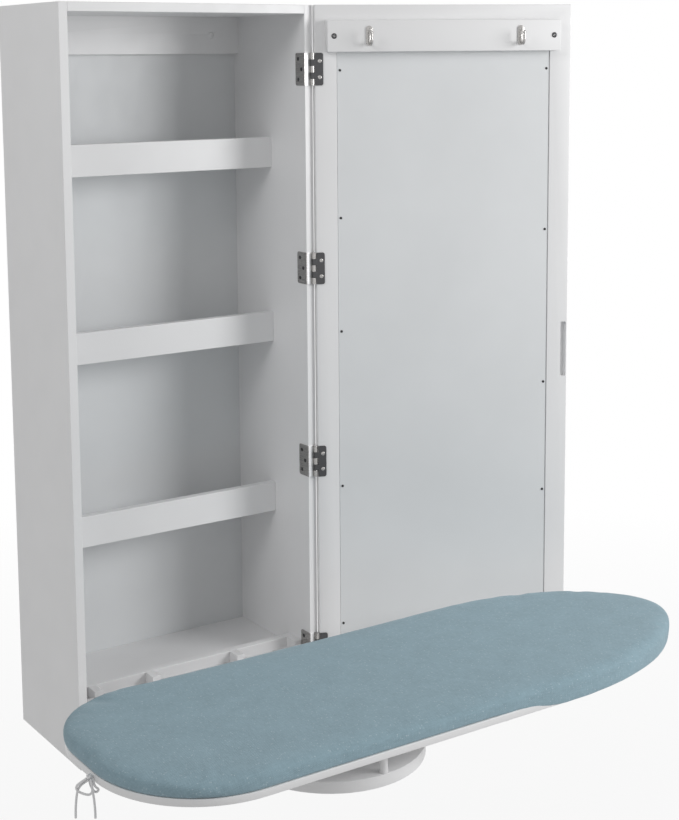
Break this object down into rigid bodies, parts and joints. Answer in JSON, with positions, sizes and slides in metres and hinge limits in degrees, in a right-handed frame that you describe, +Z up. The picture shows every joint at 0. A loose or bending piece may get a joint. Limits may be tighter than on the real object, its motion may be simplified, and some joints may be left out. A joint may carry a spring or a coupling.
{
  "type": "mirrored ironing board cabinet",
  "caption": "White wall cabinet with a mirror door, open shelves, a coat rail and a padded ironing board that folds down on hinges and swivels on a turntable.",
  "frame": {"origin": "on the wall, midway between the two wall screws in the mounting rail", "axes": "+X to the right seen from the room, +Y into the wall, +Z up"},
  "size_m": [0.857, 0.646, 0.99],
  "materials": {
    "white_paint": "satin white paint on fibreboard",
    "hardboard": "white-faced hardboard",
    "frame_steel": "grey powder coat",
    "zinc_steel": "bright zinc plate",
    "nickel": "polished nickel plate",
    "black_steel": "black oxide",
    "mirror_glass": "silvered glass",
    "foam": "felted foam",
    "cover_cloth": "heathered cotton",
    "cord": "woven tape"
  },
  "bodies": {
    "case": {"left_side": "white_paint", "right_side": "white_paint", "top_panel": "white_paint", "bottom_panel": "white_paint", "back_panel": "hardboard", "mounting_rail": "white_paint", "lower_rear_rail": "white_paint", "upper_shelf": "white_paint", "middle_shelf": "white_paint", "lower_shelf": "white_paint", "upper_shelf_lip": "white_paint", "middle_shelf_lip": "white_paint", "lower_shelf_lip": "white_paint", "tray_deck": "white_paint", "tray_front_board": "white_paint", "tray_rear_rail": "white_paint", "tray_left_end": "white_paint", "tray_right_end": "white_paint", "tray_left_divider": "white_paint", "tray_right_divider": "white_paint", "stay_ledge": "frame_steel", "ledge_screws": "zinc_steel", "fold_hinge_fixed_leaves": "nickel", "fold_hinge_pins": "zinc_steel", "fold_hinge_screws": "nickel", "door_hinge_case_leaves": "nickel", "door_hinge_pins": "zinc_steel", "case_leaf_screws": "nickel"},
    "door": {"door_free_stile": "white_paint", "door_hinge_stile": "white_paint", "door_top_rail": "white_paint", "door_bottom_rail": "white_paint", "door_back_panel": "hardboard", "mirror_glass": "mirror_glass", "coat_rail": "white_paint", "coat_rail_screws": "nickel", "left_coat_hook": "nickel", "right_coat_hook": "nickel", "door_panel_screws": "black_steel", "door_hinge_door_leaves": "nickel", "door_leaf_screws": "nickel"},
    "support": {"support_frame": "frame_steel", "fold_hinge_moving_leaves": "nickel", "bearing_ring": "zinc_steel", "swivel_bolt": "zinc_steel", "swivel_washer": "zinc_steel", "swivel_nut": "zinc_steel"},
    "stay": {"stay_rod": "zinc_steel"},
    "board": {"turntable_disc": "white_paint", "spacer_pegs": "white_paint", "peg_screws": "zinc_steel", "ironing_board": "white_paint", "foam_pad": "foam", "board_cover": "cover_cloth", "edge_bracket": "zinc_steel", "drawstring_knot": "cord", "drawstring_left_loop": "cord", "drawstring_right_loop": "cord", "drawstring_left_tail": "cord", "drawstring_right_tail": "cord"}
  },
  "joints": [
    {"name": "door_swing", "type": "hinge", "parent": "case", "child": "door", "pos_m": [0.1822, -0.1962, -0.457], "axis": [0, 0, 1], "range_deg": [-6, 22.4]},
    {"name": "board_fold", "type": "hinge", "parent": "case", "child": "support", "pos_m": [0, -0.192, -0.86], "axis": [-1, 0, 0], "range_deg": [0, 20]},
    {"name": "board_swivel", "type": "hinge", "parent": "support", "child": "board", "pos_m": [0, -0.502, -0.852], "axis": [0, 0, 1], "range_deg": [-180, 0]},
    {"name": "stay_fold", "type": "hinge", "parent": "support", "child": "stay", "pos_m": [0, -0.43, -0.8575], "axis": [1, 0, 0], "range_deg": [0, 3.2]}
  ],
  "couplings": [
    {"joint": "stay_fold", "follows": "board_fold", "ratio": 0.1537}
  ]
}
